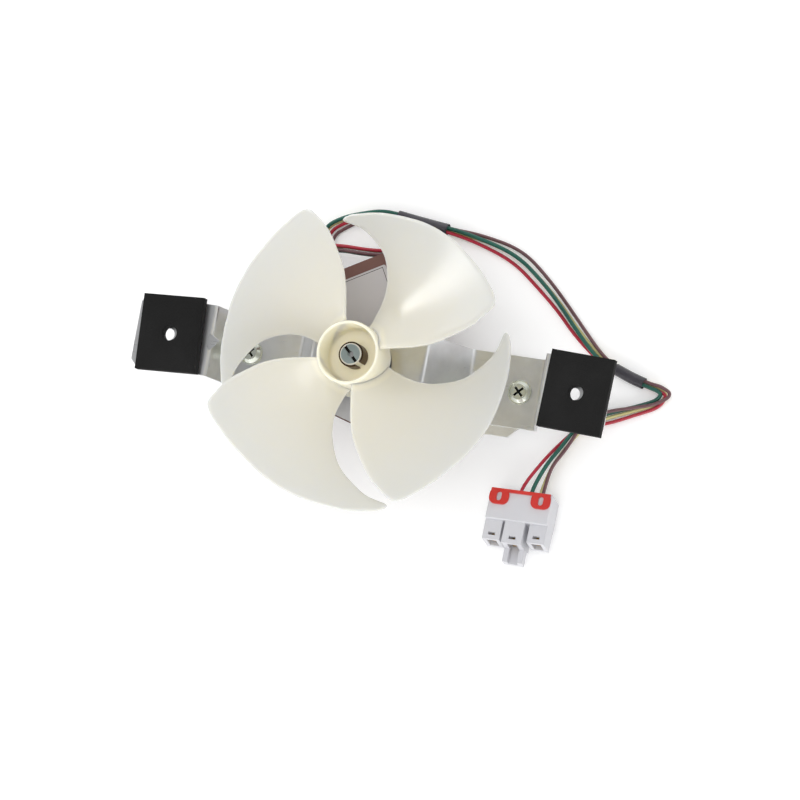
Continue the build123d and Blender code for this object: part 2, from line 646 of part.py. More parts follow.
with BuildPart() as hub_spring_clip:
    with BuildSketch(Plane.XY.offset(HUB_LEDGE)):
        Circle(COLLAR_R + CLIP_WALL)
        Circle(COLLAR_R, mode=Mode.SUBTRACT)
        with Locations((flat_point(COLLAR_R, -45))):
            Rectangle(3, CLIP_GAP, rotation=-45, mode=Mode.SUBTRACT)
    extrude(amount=CLIP_HIGH)
save(hub_spring_clip, "hub_spring_clip")

# Plug: a body with three barrels, lying on the floor and tipped up by its latch
plug_forward = Vector(sin(radians(PLUG_YAW)), -cos(radians(PLUG_YAW)), 0)
plug_side = Vector(cos(radians(PLUG_YAW)), sin(radians(PLUG_YAW)), 0)
plug_axis = plug_forward * cos(radians(PLUG_PITCH)) + Vector(0, 0, sin(radians(PLUG_PITCH)))
plug = Plane(origin=(PLUG_X, PLUG_Y, 0), x_dir=plug_side, z_dir=plug_axis.cross(plug_side))
# Each barrel: middle, width, how far it reaches past the body, how much higher it stands
barrels = (
    (SIDE_BARREL / 2 - PLUG_HALF, SIDE_BARREL, LEFT_OUT, 0.0),
    (MID_X, MID_BARREL, MID_OUT, MID_RAISED),
    (PLUG_HALF - SIDE_BARREL / 2, SIDE_BARREL, RIGHT_OUT, 0.0),
)


def plug_box(x, y_from, y_to, z_from, z_to, wide, mode=Mode.ADD):
    """A box in the plug's frame; y is counted from the wire end toward the mating end."""
    centre = (x, -(y_from + y_to) / 2, (z_from + z_to) / 2)
    with Locations(plug * Location(centre)):
        Box(wide, y_to - y_from, z_to - z_from, mode=mode)


with BuildPart() as connector_housing:
    plug_box(0, 0, PLUG_BODY, 0, PLUG_HIGH, 2 * PLUG_HALF)
    fillet(connector_housing.edges(), radius=0.5)
    for x, wide, reach, raised in barrels:
        plug_box(x, PLUG_BODY - 1, PLUG_BODY + reach, BARREL_LOW, BARREL_LOW + BARREL_HIGH + raised, wide)
    # lower lip of the middle barrel
    plug_box(MID_X, PLUG_BODY, PLUG_BODY + MID_OUT + LIP_OUT, BARREL_LOW, LIP_TOP, MID_BARREL)
    # latch under the body
    plug_box(0, 8.5, 19, -1.6, BARREL_LOW, LATCH_WIDE)
    plug_box(0, 15.5, 19, -LATCH_DEEP, -1.5, LATCH_WIDE)
    for x, wide, reach, raised in barrels:
        end = PLUG_BODY + reach
        top = BARREL_LOW + BARREL_HIGH + raised
        plug_box(x, end - POCKET_DEEP, end + LIP_OUT + 1, POCKET_LOW, top - 1.6, POCKET, mode=Mode.SUBTRACT)
        plug_box(x, end - SLOT_BACK, end - SLOT_BACK + SLOT_LONG, top - 2.5, top + 2, SLOT_WIDE, mode=Mode.SUBTRACT)
save(connector_housing, "connector_housing")

with BuildPart() as connector_terminals:
    for x, wide, reach, raised in barrels:
        start = PLUG_BODY + reach - POCKET_DEEP
        plug_box(x, start, start + TERMINAL_LONG, TERMINAL_LOW, TERMINAL_LOW + TERMINAL, TERMINAL)
save(connector_terminals, "connector_terminals")

# Retainer pushed in at the wire end: a bar with two rounded loops lying on the body
with BuildPart() as connector_retainer:
    with BuildSketch(plug.offset(PLUG_HIGH)):
        with Locations((0, -BAR_FROM - BAR_LONG / 2)):
            Rectangle(2 * PLUG_HALF - 1, BAR_LONG)
        for x, wide in LOOPS:
            with Locations((x, -BAR_FROM - LOOP_LONG / 2)):
                RectangleRounded(wide, LOOP_LONG, LOOP_CORNER)
    extrude(amount=RETAINER_HIGH)
    with BuildSketch(plug.offset(PLUG_HIGH)):
        for x, wide in LOOPS:
            with Locations((x, -BAR_FROM - LOOP_LONG / 2)):
                SlotOverall(LOOP_LONG - 2.6, wide / 4, rotation=90)
    extrude(amount=RETAINER_HIGH, mode=Mode.SUBTRACT)
save(connector_retainer, "connector_retainer")


def bend_radii(route):
    """Largest tangent arc at each inner point that leaves a short straight run between arcs."""
    radii = []
    for before, corner, after in zip(route[:-2], route[1:-1], route[2:]):
        run_in = Vector(*corner) - Vector(*before)
        run_out = Vector(*after) - Vector(*corner)
        turn = radians(run_in.get_angle(run_out))
        radii.append(HOLD_BACK * min(run_in.length, run_out.length) / tan(turn / 2))
    return radii


def wire_line(node, route):
    """Draw a wire's middle line in the open builder and print its bends."""
    radii = bend_radii(route)
    print(node, "bend radii", [round(r, 1) for r in radii])
    return FilletPolyline(*route, radius=radii)


with BuildPart() as wire_red:
    with BuildLine():
        red_line = wire_line("wire_red", RED_ROUTE)
    with BuildSketch(Plane(origin=red_line @ 0, z_dir=red_line % 0)):
        Circle(THIN_WIRE_R)
    sweep()
save(wire_red, "wire_red")

with BuildPart() as wire_green:
    with BuildLine():
        green_line = wire_line("wire_green", GREEN_ROUTE)
    with BuildSketch(Plane(origin=green_line @ 0, z_dir=green_line % 0)):
        Circle(THICK_WIRE_R)
    sweep()
save(wire_green, "wire_green")

with BuildPart() as wire_yellow:
    with BuildLine():
        yellow_line = wire_line("wire_yellow", YELLOW_ROUTE)
    with BuildSketch(Plane(origin=yellow_line @ 0, z_dir=yellow_line % 0)):
        Circle(THIN_WIRE_R)
    sweep()
save(wire_yellow, "wire_yellow")

with BuildPart() as wire_brown:
    with BuildLine():
        brown_line = wire_line("wire_brown", BROWN_ROUTE)
    with BuildSketch(Plane(origin=brown_line @ 0, z_dir=brown_line % 0)):
        Circle(THIN_WIRE_R)
    sweep()
save(wire_brown, "wire_brown")

with BuildPart() as harness_sleeve_upper:
    with BuildLine():
        upper_line = wire_line("harness_sleeve_upper", UPPER_SLEEVE_ROUTE)
    with BuildSketch(Plane(origin=upper_line @ 0, z_dir=upper_line % 0)):
        Circle(SLEEVE_OUT / 2)
        Circle(SLEEVE_OUT / 2 - SLEEVE_WALL, mode=Mode.SUBTRACT)
    sweep()
save(harness_sleeve_upper, "harness_sleeve_upper")

with BuildPart() as harness_sleeve_lower:
    with BuildLine():
        lower_line = wire_line("harness_sleeve_lower", LOWER_SLEEVE_ROUTE)
    with BuildSketch(Plane(origin=lower_line @ 0, z_dir=lower_line % 0)):
        Circle(SLEEVE_OUT / 2)
        Circle(SLEEVE_OUT / 2 - SLEEVE_WALL, mode=Mode.SUBTRACT)
    sweep()
save(harness_sleeve_lower, "harness_sleeve_lower")
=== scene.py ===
"""Refrigerator fan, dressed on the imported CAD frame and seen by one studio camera.

Lengths in the tables below are millimetres in the part's frame; MM turns them into metres.
"""

import json
import logging
from dataclasses import dataclass, field
from enum import Enum
from itertools import product
from math import atan2, cos, pi, radians, sin
from typing import Sequence

import bpy
import numpy as np
from mathutils import Matrix, Quaternion, Vector

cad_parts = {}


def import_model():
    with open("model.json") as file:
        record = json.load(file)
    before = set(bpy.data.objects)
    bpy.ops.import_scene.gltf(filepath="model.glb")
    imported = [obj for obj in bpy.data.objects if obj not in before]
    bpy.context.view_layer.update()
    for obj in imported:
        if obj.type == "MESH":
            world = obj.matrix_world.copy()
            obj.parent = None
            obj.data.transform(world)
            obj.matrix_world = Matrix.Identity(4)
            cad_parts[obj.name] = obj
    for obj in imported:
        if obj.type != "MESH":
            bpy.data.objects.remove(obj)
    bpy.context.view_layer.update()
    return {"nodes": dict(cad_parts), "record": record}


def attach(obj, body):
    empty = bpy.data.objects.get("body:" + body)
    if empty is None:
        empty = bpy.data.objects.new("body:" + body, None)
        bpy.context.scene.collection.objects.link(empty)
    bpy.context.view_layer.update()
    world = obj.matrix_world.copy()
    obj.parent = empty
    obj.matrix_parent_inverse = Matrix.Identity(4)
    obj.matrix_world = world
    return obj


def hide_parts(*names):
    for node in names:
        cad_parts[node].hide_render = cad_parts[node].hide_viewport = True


log = logging.getLogger("fan")

Point = tuple[float, float, float]
Colour = tuple[float, float, float]

MM = 0.001
BODY_STILL = "frame"
BODY_TURNING = "rotor"
MOTOR_TURN = 29.2

# The wires' routes: those of the part's source, a few points moved to follow the photograph
RED_ROUTE = (
    (5.3, 31, 12.8), (9.9, 33.6, 12.8), (11.3, 40.6, 12.8), (6.6, 46.3, 12.8), (-3.5, 45.4, 12.8),
    (-14.4, 44.4, 12.4), (-26.7, 45.1, 10.8), (-38.6, 43.5, 8.6), (-47.1, 36.5, 6.3),
    (-47.4, 26.5, 4.1), (-39.1, 19, 2.4), (-30.8, 25.4, 1.1), (-31.2, 34.7, 0.9),
    (-34.6, 43.4, 0.8), (-34.4, 51.2, 0.8), (-28.2, 55.4, 1.6), (-20.7, 57.4, 3.7), (-15, 59, 3.6),
    (-10.1, 59.4, 2.8), (1.5, 57.8, 2.8), (13.2, 56.4, 2.8), (24.1, 54.2, 1.3), (38.8, 49.1, 0.8),
    (49.9, 40.5, 0.8), (58.4, 33.5, 1), (66.3, 25.4, 0.8), (75.6, 18, 0.9), (82.3, 14.9, 1.2),
    (90.5, 11.8, 1.2), (98.2, 9.6, 1.2), (101.8, 9, 1.1), (105.3, 7.9, 2.4), (102.9, 3.1, 1.2),
    (95.6, -0.3, 0.8), (85.5, -5.2, 0.8), (78.4, -7.3, 0.8), (73.3, -9.3, 0.9), (68.1, -16.8, 3.4),
    (64.7, -22.9, 6.3), (59.1, -33.7, 8.5), (59.15, -36.01, 8.98),
)
GREEN_ROUTE = (
    (4.5, 32.4, 11.2), (8.5, 34.7, 11.2), (9.5, 40.2, 11.2), (5.9, 44.6, 11.2), (-3.3, 43.8, 11.2),
    (-14.4, 42.8, 10.8), (-26.7, 43.5, 9.2), (-37.8, 41.7, 7.4), (-44.9, 35.5, 5.7),
    (-45, 27.5, 4.3), (-38.9, 21.8, 3.2), (-32.4, 26.2, 2.7), (-32.9, 34.4, 2.9),
    (-36.6, 43.1, 2.5), (-36.4, 52.3, 2.4), (-29.1, 57, 2.9), (-21.4, 59.2, 4.2),
    (-15.4, 60.9, 3.9), (-10.1, 61.1, 2.9), (1.8, 59.4, 2.9), (13.4, 58, 2.9), (24.4, 56, 2.5),
    (40, 51.6, 2.5), (51.7, 42.7, 2.5), (59.8, 35, 2.6), (67.6, 26.6, 2.4), (75.9, 18.4, 2.6),
    (82.3, 15, 2.9), (90.5, 11.8, 2.9), (98.2, 9.7, 2.9), (101.8, 8.9, 2.8), (103.2, 7.7, 2.9),
    (101.3, 5.2, 1.9), (94.4, 2.3, 0.9), (84, -1.7, 0.9), (77.2, -5.6, 2.6), (73.4, -9.4, 2.9),
    (69.7, -17.6, 5), (66.5, -23.8, 7.2), (63.1, -33.6, 8.5), (63.15, -35.91, 8.98),
)
YELLOW_ROUTE = (
    (5.3, 31, 11.2), (9.9, 33.6, 11.2), (11.3, 40.6, 11.2), (6.6, 46.3, 11.2), (-3.5, 45.4, 11.2),
    (-14.4, 44.4, 10.8), (-26.7, 45.1, 9.2), (-38.5, 43.2, 7), (-46.3, 36.2, 4.9), (-46.1, 27, 3.1),
    (-39, 21, 1.7), (-32.4, 26.2, 1.1), (-32.8, 34.4, 0.8), (-36.3, 43.1, 0.8), (-36.3, 52.2, 0.8),
    (-28.9, 56.6, 1.2), (-21.2, 58.7, 2.5), (-15.1, 59.5, 1.9), (-10.1, 59.7, 1.2),
    (1.6, 58.1, 1.2), (13.3, 56.7, 1.2), (24.4, 56, 0.8), (40, 51.6, 0.8), (51.7, 42.7, 0.8),
    (60.1, 35.2, 0.8), (67.9, 27, 0.8), (76.7, 19.4, 0.9), (82.8, 16.2, 1.2), (91, 13.1, 1.2),
    (98.5, 11, 1.2), (102.3, 10.3, 0.9), (105.1, 7.9, 0.8), (102.1, 4.2, 0.8), (95, 1, 0.8),
    (84.7, -3.2, 0.8), (78.1, -6.9, 2.4), (74.8, -10.5, 2.3), (70.5, -18, 2.6), (67.5, -24.3, 3.8),
    (65.2, -34.4, 4.2), (65.27, -36.77, 4.67),
)
BROWN_ROUTE = (
    (4.5, 32.4, 12.8), (8.5, 34.7, 12.8), (9.5, 40.2, 12.8), (5.9, 44.6, 12.8), (-3.3, 43.8, 12.8),
    (-14.4, 42.8, 12.4), (-26.7, 43.5, 10.8), (-37.9, 42, 9), (-45.7, 35.8, 7.1), (-46.3, 27, 5.3),
    (-39, 19.8, 3.9), (-30.8, 25.4, 2.7), (-30.4, 34.8, 2.5), (-32.7, 43.7, 1), (-32.5, 50.1, 0.8),
    (-27.4, 53.8, 0.8), (-21, 58.1, 0.8), (-15.4, 61, 0.8), (-10.1, 61.1, 1.2), (1.8, 59.5, 1.2),
    (13.4, 58.1, 1.2), (24.7, 57.5, 0.8), (41.3, 54, 0.8), (53.2, 44.5, 0.8), (61.4, 36.5, 0.8),
    (69.3, 28.3, 0.8), (77.3, 20.3, 2), (82.9, 16.3, 2.8), (91, 13.2, 2.8), (98.5, 11.1, 2.8),
    (102.5, 10.8, 3), (107.6, 8.3, 3.2), (102.3, 4, 3.1), (94.7, 1.7, 2.9), (83.8, -1.2, 2.4),
    (77.1, -5.4, 4.4), (74.8, -10.5, 4.2), (71.4, -18.4, 4.6), (68.2, -24.6, 6.9),
    (67.4, -33.4, 8.5), (67.44, -35.8, 8.98),
)
THIN_WIRE = 1.3
THICK_WIRE = 1.5

# The bracket screws' distance from the shaft and the height under which their cross recess is
# painted dark as shade
SCREW_X = 52.7
SCREW_RECESS = 13.55
SCREW_CROSS_R = 2.3
# The painted shade stripe along the slot across the hub's disc
SLOT_TURN = -45.0
SLOT_WIDE = 1.1
# The frame line on the motor's label: middle in the motor's turned axes, size and line width
LABEL_MIDDLE = (1.2, 23.4)
LABEL_FRAME = (27.4, 21.2)
LABEL_LINE = 0.22
# Where the lamps point, in metres
LAMP_AIM = (0.0, 0.0, 0.04)


def mm(points: Sequence[Point]) -> list[Vector]:
    """Turn a list of millimetre points into metres."""
    return [Vector(p) * MM for p in points]


def srgb(red: int, green: int, blue: int) -> Colour:
    """Turn an 8-bit screen colour into linear light.

    Args:
        red, green, blue: channel values from 0 to 255.

    Returns:
        The same colour as three linear numbers.
    """

    def channel(value: int) -> float:
        """One channel by the screen's transfer curve."""
        v = value / 255
        return v / 12.92 if v <= 0.04045 else ((v + 0.055) / 1.055) ** 2.4

    return channel(red), channel(green), channel(blue)


class Coat(Enum):
    """How a surface throws light back."""

    METAL = "metal"
    PLASTIC = "plastic"
    RUBBER = "rubber"


class ShaderGraph:
    """A thin wrapper that adds and links shader nodes by name."""

    def __init__(self, name: str) -> None:
        """Start an empty material with an output and a principled shader."""
        self.material = bpy.data.materials.new(name)
        self.material.use_nodes = True
        self.tree = self.material.node_tree
        self.tree.nodes.clear()
        self.output = self.tree.nodes.new("ShaderNodeOutputMaterial")
        self.shader = self.tree.nodes.new("ShaderNodeBsdfPrincipled")
        self.link(self.shader, "BSDF", self.output, "Surface")

    def add(self, kind: str, **values: object) -> bpy.types.Node:
        """Add a node; keyword names are its properties."""
        node = self.tree.nodes.new(kind)
        for key, value in values.items():
            setattr(node, key, value)
        return node

    def link(self, source: bpy.types.Node, out: str | int,
             target: bpy.types.Node, into: str | int) -> None:
        """Join one socket to another."""
        self.tree.links.new(source.outputs[out], target.inputs[into])

    def set(self, node: bpy.types.Node, **values: object) -> None:
        """Set unlinked inputs; an underscore in a name stands for a space."""
        for key, value in values.items():
            node.inputs[key.replace("_", " ")].default_value = value

    def soften(self, radius: float, normal: bpy.types.Node | None = None) -> None:
        """Round the look of sharp edges; an optional node's Normal is laid over it."""
        bevel = self.add("ShaderNodeBevel", samples=4)
        bevel.inputs["Radius"].default_value = radius * MM
        if normal:
            self.link(normal, "Normal", bevel, "Normal")
        self.link(bevel, "Normal", self.shader, "Normal")

    def maths(self, operation: str, first: bpy.types.NodeSocket | float,
              second: bpy.types.NodeSocket | float | None = None,
              third: float = 0.0) -> bpy.types.NodeSocket:
        """Add a math node.

        Args:
            operation: the node's operation.
            first, second: sockets or numbers.
            third: a number, which only COMPARE uses, as its tolerance.

        Returns:
            The node's result.
        """
        node = self.add("ShaderNodeMath", operation=operation)
        for place, value in zip(node.inputs, (first, second, third)):
            if isinstance(value, bpy.types.NodeSocket):
                self.tree.links.new(value, place)
            elif value is not None:
                place.default_value = value
        return node.outputs["Value"]

    def turned_xyz(self, angle: float = 0.0) -> bpy.types.NodeOutputs:
        """Object coordinates turned back by an angle in degrees about the shaft, as X, Y and Z."""
        place = self.add("ShaderNodeTexCoord")
        turned = self.add("ShaderNodeVectorRotate", rotation_type="Z_AXIS")
        turned.inputs["Angle"].default_value = -radians(angle)
        self.link(place, "Object", turned, "Vector")
        split = self.add("ShaderNodeSeparateXYZ")
        self.link(turned, "Vector", split, "Vector")
        return split.outputs

    def overlay(self, mask: bpy.types.NodeSocket, colour: Colour) -> None:
        """Lay a second colour over the base colour where the mask is one."""
        base = self.shader.inputs["Base Color"]
        blend = self.add("ShaderNodeMix", data_type="RGBA")
        blend.inputs["A"].default_value = tuple(base.default_value)
        blend.inputs["B"].default_value = (*colour, 1.0)
        if base.is_linked:
            self.tree.links.new(base.links[0].from_socket, blend.inputs["A"])
        self.tree.links.new(mask, blend.inputs["Factor"])
        self.link(blend, "Result", self.shader, "Base Color")

    def ramp(self, stops: Sequence[tuple[float, Colour]]) -> bpy.types.Node:
        """A colour ramp with the given stops."""
        node = self.add("ShaderNodeValToRGB")
        elements = node.color_ramp.elements
        while len(elements) < len(stops):
            elements.new(0.5)
        for element, (place, colour) in zip(elements, stops):
            element.position = place
            element.color = (*colour, 1.0)
        return node


def grain_group() -> bpy.types.NodeTree:
    """A shared group: object coordinates in, a slow and a fast noise and a bumped normal out."""
    name = "surface_grain"
    found = bpy.data.node_groups.get(name)
    if found:
        return found
    tree = bpy.data.node_groups.new(name, "ShaderNodeTree")
    socket = tree.interface.new_socket
    socket("Scale", in_out="INPUT", socket_type="NodeSocketFloat").default_value = 400.0
    socket("Bump", in_out="INPUT", socket_type="NodeSocketFloat").default_value = 0.1
    socket("Slow", in_out="OUTPUT", socket_type="NodeSocketFloat")
    socket("Fast", in_out="OUTPUT", socket_type="NodeSocketFloat")
    socket("Normal", in_out="OUTPUT", socket_type="NodeSocketVector")
    nodes, links = tree.nodes, tree.links
    entry = nodes.new("NodeGroupInput")
    leave = nodes.new("NodeGroupOutput")
    place = nodes.new("ShaderNodeTexCoord")
    slow = nodes.new("ShaderNodeTexNoise")
    slow.inputs["Scale"].default_value = 45.0
    slow.inputs["Detail"].default_value = 3.0
    fast = nodes.new("ShaderNodeTexNoise")
    fast.inputs["Detail"].default_value = 6.0
    bump = nodes.new("ShaderNodeBump")
    bump.inputs["Distance"].default_value = 0.0003
    for noise in (slow, fast):
        links.new(place.outputs["Object"], noise.inputs["Vector"])
    links.new(entry.outputs["Scale"], fast.inputs["Scale"])
    links.new(entry.outputs["Bump"], bump.inputs["Strength"])
    links.new(fast.outputs["Fac"], bump.inputs["Height"])
    links.new(slow.outputs["Fac"], leave.inputs["Slow"])
    links.new(fast.outputs["Fac"], leave.inputs["Fast"])
    links.new(bump.outputs["Normal"], leave.inputs["Normal"])
    return tree


@dataclass(frozen=True)
class Finish:
    """One surface: two close colours mixed by a slow noise, a fine grain and a coat."""

    name: str
    light: Colour
    dark: Colour
    coat: Coat
    roughness: float
    grain: float = 600.0
    bump: float = 0.08
    edge: float = 0.15

    def build(self) -> ShaderGraph:
        """Make the material."""
        graph = ShaderGraph(self.name)
        grain = graph.add("ShaderNodeGroup", node_tree=grain_group())
        graph.set(grain, Scale=self.grain, Bump=self.bump)
        tint = graph.ramp([(0.35, self.dark), (0.65, self.light)])
        graph.link(grain, "Slow", tint, "Fac")
        graph.link(tint, "Color", graph.shader, "Base Color")
        graph.soften(self.edge, grain)
        rough = graph.add("ShaderNodeMapRange")
        graph.set(rough, To_Min=self.roughness * 0.85, To_Max=min(1.0, self.roughness * 1.15))
        graph.link(grain, "Fast", rough, "Value")
        graph.link(rough, "Result", graph.shader, "Roughness")
        if self.coat is Coat.METAL:
            graph.set(graph.shader, Metallic=1.0)
        if self.coat is Coat.RUBBER:
            graph.set(graph.shader, Specular_IOR_Level=0.3)
        if self.coat is Coat.PLASTIC:
            graph.set(graph.shader, Coat_Weight=0.15, Coat_Roughness=0.25)
        return graph


def rolled_steel(name: str, light: Colour, dark: Colour, roughness: float) -> ShaderGraph:
    """Zinc-plated strip: smooth, with faint rolling lines along it and slow clouds in the plating.

    Args:
        name: material name.
        light, dark: shades of the brightest and the dullest cloud.
        roughness: middle roughness.

    Returns:
        The finished graph.
    """
    graph = ShaderGraph(name)
    place = graph.add("ShaderNodeTexCoord")
    stretch = graph.add("ShaderNodeMapping")
    stretch.inputs["Scale"].default_value = (40.0, 2200.0, 500.0)
    lines = graph.add("ShaderNodeTexNoise")
    graph.set(lines, Scale=1.0, Detail=3.0)
    clouds = graph.add("ShaderNodeTexNoise")
    graph.set(clouds, Scale=160.0, Detail=4.0)
    graph.link(place, "Object", stretch, "Vector")
    graph.link(place, "Object", clouds, "Vector")
    graph.link(stretch, "Vector", lines, "Vector")
    tint = graph.ramp([(0.3, dark), (0.7, light)])
    graph.link(clouds, "Fac", tint, "Fac")
    graph.link(tint, "Color", graph.shader, "Base Color")
    rough = graph.add("ShaderNodeMapRange")
    graph.set(rough, To_Min=roughness * 0.8, To_Max=roughness * 1.2)
    graph.link(lines, "Fac", rough, "Value")
    graph.link(rough, "Result", graph.shader, "Roughness")
    bump = graph.add("ShaderNodeBump")
    graph.set(bump, Strength=0.06, Distance=0.0001)
    graph.link(lines, "Fac", bump, "Height")
    graph.set(graph.shader, Metallic=1.0)
    graph.soften(0.25, bump)
    return graph


def milky_plastic(name: str) -> ShaderGraph:
    """Natural polypropylene: light soaks in a few millimetres; the hub is warmer for its thicker
    plastic, and lighter than the blades as painted light that lifts the shade in its cup.

    The cup of the hub also has a painted glow: a faint emission stands in for the light that its
    wall lets through.

    Args:
        name: material name.

    Returns:
        The finished graph.
    """
    graph = ShaderGraph(name)
    grain = graph.add("ShaderNodeGroup", node_tree=grain_group())
    graph.set(grain, Scale=140.0, Bump=0.02)
    place = graph.add("ShaderNodeTexCoord")
    across = graph.add("ShaderNodeVectorMath", operation="MULTIPLY")
    across.inputs[1].default_value = (1.0, 1.0, 0.0)
    graph.link(place, "Object", across, 0)
    reach = graph.add("ShaderNodeVectorMath", operation="LENGTH")
    graph.link(across, "Vector", reach, 0)
    outward = graph.add("ShaderNodeMapRange")
    graph.set(outward, From_Min=0.0, From_Max=TIP_R * MM)
    graph.link(reach, "Value", outward, "Value")
    # The hub's stop is warmer for the thicker plastic, and lighter than the blades' as painted
    # light that lifts the shade in the hub's cup.
    tint = graph.ramp(
        [
            (0.20, srgb(236, 229, 206)),
            (0.27, srgb(211, 208, 197)),
            (0.60, srgb(208, 206, 198)),
            (1.0, srgb(203, 204, 202)),
        ]
    )
    graph.link(outward, "Result", tint, "Fac")
    graph.link(tint, "Color", graph.shader, "Base Color")
    # Painted glow: a faint emission in the hub's cup stands in for light let through its wall.
    hub_painted_glow = graph.ramp([(0.165, (0.11, 0.10, 0.075)), (0.185, (0.0, 0.0, 0.0))])
    graph.link(outward, "Result", hub_painted_glow, "Fac")
    graph.link(hub_painted_glow, "Color", graph.shader, "Emission Color")
    graph.set(
        graph.shader,
        Roughness=0.16,
        Emission_Strength=1.0,
        Subsurface_Weight=0.8,
        Subsurface_Scale=0.004,
        Subsurface_Radius=(1.0, 0.92, 0.7),
        IOR=1.49,
    )
    graph.link(grain, "Normal", graph.shader, "Normal")
    return graph


def framed_label(name: str, middle: tuple[float, float], size: tuple[float, float]) -> ShaderGraph:
    """Silver foil with one thin dark frame line set in from its edge.

    Args:
        name: material name.
        middle: middle of the frame in the motor's turned axes, millimetres.
        size: the frame's width and height, millimetres.

    Returns:
        The finished graph.
    """
    graph = ShaderGraph(name)
    graph.shader.inputs["Base Color"].default_value = (*srgb(194, 190, 190), 1.0)
    split = graph.turned_xyz(MOTOR_TURN)
    gaps = []
    for axis, centre, length in zip("XY", middle, size):
        away = graph.maths("ABSOLUTE", graph.maths("SUBTRACT", split[axis], centre * MM))
        gaps.append(graph.maths("SUBTRACT", away, length / 2 * MM))
    outside = graph.maths("MAXIMUM", gaps[0], gaps[1])
    line = graph.maths("COMPARE", outside, 0.0, LABEL_LINE / 2 * MM)
    graph.overlay(line, srgb(34, 30, 32))
    graph.set(graph.shader, Roughness=0.42, Metallic=0.25)
    return graph


FINISHES = (
    Finish("screw_zinc", srgb(232, 236, 224), srgb(206, 208, 196), Coat.METAL, 0.2, edge=0.2),
    Finish("foam", srgb(27, 27, 27), srgb(20, 20, 20), Coat.RUBBER, 0.95, 2600.0, 0.6),
    Finish("cushion_rubber", srgb(44, 43, 42), srgb(30, 30, 30), Coat.RUBBER, 0.7),
    Finish(
        "housing_brown", srgb(110, 74, 66), srgb(90, 58, 52), Coat.PLASTIC, 0.55, 900.0, 0.2, 0.4
    ),
    Finish("cover_steel", srgb(212, 212, 214), srgb(202, 202, 205), Coat.PLASTIC, 0.35),
    Finish("grommet_dark", srgb(50, 47, 46), srgb(36, 34, 34), Coat.PLASTIC, 0.5),
    Finish("core_iron", srgb(110, 110, 112), srgb(84, 84, 86), Coat.METAL, 0.5),
    Finish("coil_copper", srgb(196, 116, 66), srgb(150, 82, 44), Coat.METAL, 0.35),
    Finish("spool_plastic", srgb(232, 228, 216), srgb(220, 214, 200), Coat.PLASTIC, 0.4),
    Finish("board_green", srgb(52, 112, 70), srgb(38, 90, 56), Coat.PLASTIC, 0.4),
    Finish("bearing_bronze", srgb(186, 150, 96), srgb(150, 116, 70), Coat.METAL, 0.4),
    Finish("shaft_steel", srgb(214, 214, 212), srgb(190, 190, 190), Coat.METAL, 0.18),
    Finish("disc_steel", srgb(206, 220, 216), srgb(178, 192, 188), Coat.METAL, 0.3, edge=0.1),
    Finish("magnet_black", srgb(62, 62, 62), srgb(46, 46, 46), Coat.RUBBER, 0.6),
    Finish("clip_brown", srgb(92, 72, 52), srgb(66, 50, 38), Coat.METAL, 0.45),
    Finish("wire_red", srgb(178, 36, 58), srgb(160, 26, 48), Coat.PLASTIC, 0.35),
    Finish("wire_green", srgb(28, 92, 78), srgb(18, 76, 64), Coat.PLASTIC, 0.35),
    Finish("wire_yellow", srgb(204, 198, 140), srgb(192, 184, 122), Coat.PLASTIC, 0.35),
    Finish("wire_brown", srgb(108, 74, 78), srgb(92, 60, 64), Coat.PLASTIC, 0.35),
    Finish("sleeve_clear", srgb(72, 70, 76), srgb(46, 44, 50), Coat.PLASTIC, 0.25, 420.0, 0.9),
    Finish("plug_white", srgb(208, 208, 212), srgb(203, 203, 208), Coat.PLASTIC, 0.34, edge=0.3),
    Finish("plug_red", srgb(206, 50, 42), srgb(192, 38, 34), Coat.PLASTIC, 0.3, edge=0.3),
    Finish("terminal_brass", srgb(214, 178, 110), srgb(190, 150, 84), Coat.METAL, 0.3),
)


def shade_screw_recesses(graph: ShaderGraph) -> None:
    """Paint shade into the cross recesses of the two bracket screws: a dark overlay there stands in
    for the shade that falls in them.
    """
    x, y, z = graph.turned_xyz()
    across = graph.maths("SUBTRACT", graph.maths("ABSOLUTE", x), SCREW_X * MM)
    squares = graph.maths("ADD", graph.maths("POWER", across, 2.0), graph.maths("POWER", y, 2.0))
    inside = graph.maths("LESS_THAN", graph.maths("SQRT", squares), SCREW_CROSS_R * MM)
    below = graph.maths("LESS_THAN", z, SCREW_RECESS * MM)
    # Painted shade: this dark grey lies over the screw heads' cross recesses in place of their
    # shade.
    graph.overlay(graph.maths("MULTIPLY", inside, below), srgb(66, 70, 68))


def shade_disc_slot(graph: ShaderGraph) -> None:
    """Paint a dark stripe of shade along the slot across the disc in the hub."""
    across = graph.turned_xyz(SLOT_TURN)["Y"]
    near = graph.maths("LESS_THAN", graph.maths("ABSOLUTE", across), SLOT_WIDE / 2 * MM)
    # Painted shade: a near-black stripe stands in for the shade down the slot.
    graph.overlay(near, srgb(40, 40, 38))


def build_finishes() -> dict[str, bpy.types.Material]:
    """Every material of the fan by its slot name."""
    graphs = {finish.name: finish.build() for finish in FINISHES}
    shade_screw_recesses(graphs["screw_zinc"])
    shade_disc_slot(graphs["disc_steel"])
    graphs.update(
        strip_steel=rolled_steel("strip_steel", srgb(234, 235, 236), srgb(222, 223, 224), 0.3),
        rear_steel=rolled_steel("rear_steel", srgb(244, 244, 244), srgb(234, 234, 234), 0.34),
        fan_ivory=milky_plastic("fan_ivory"),
        label_silver=framed_label("label_silver", LABEL_MIDDLE, LABEL_FRAME),
    )
    return {name: graph.material for name, graph in graphs.items()}


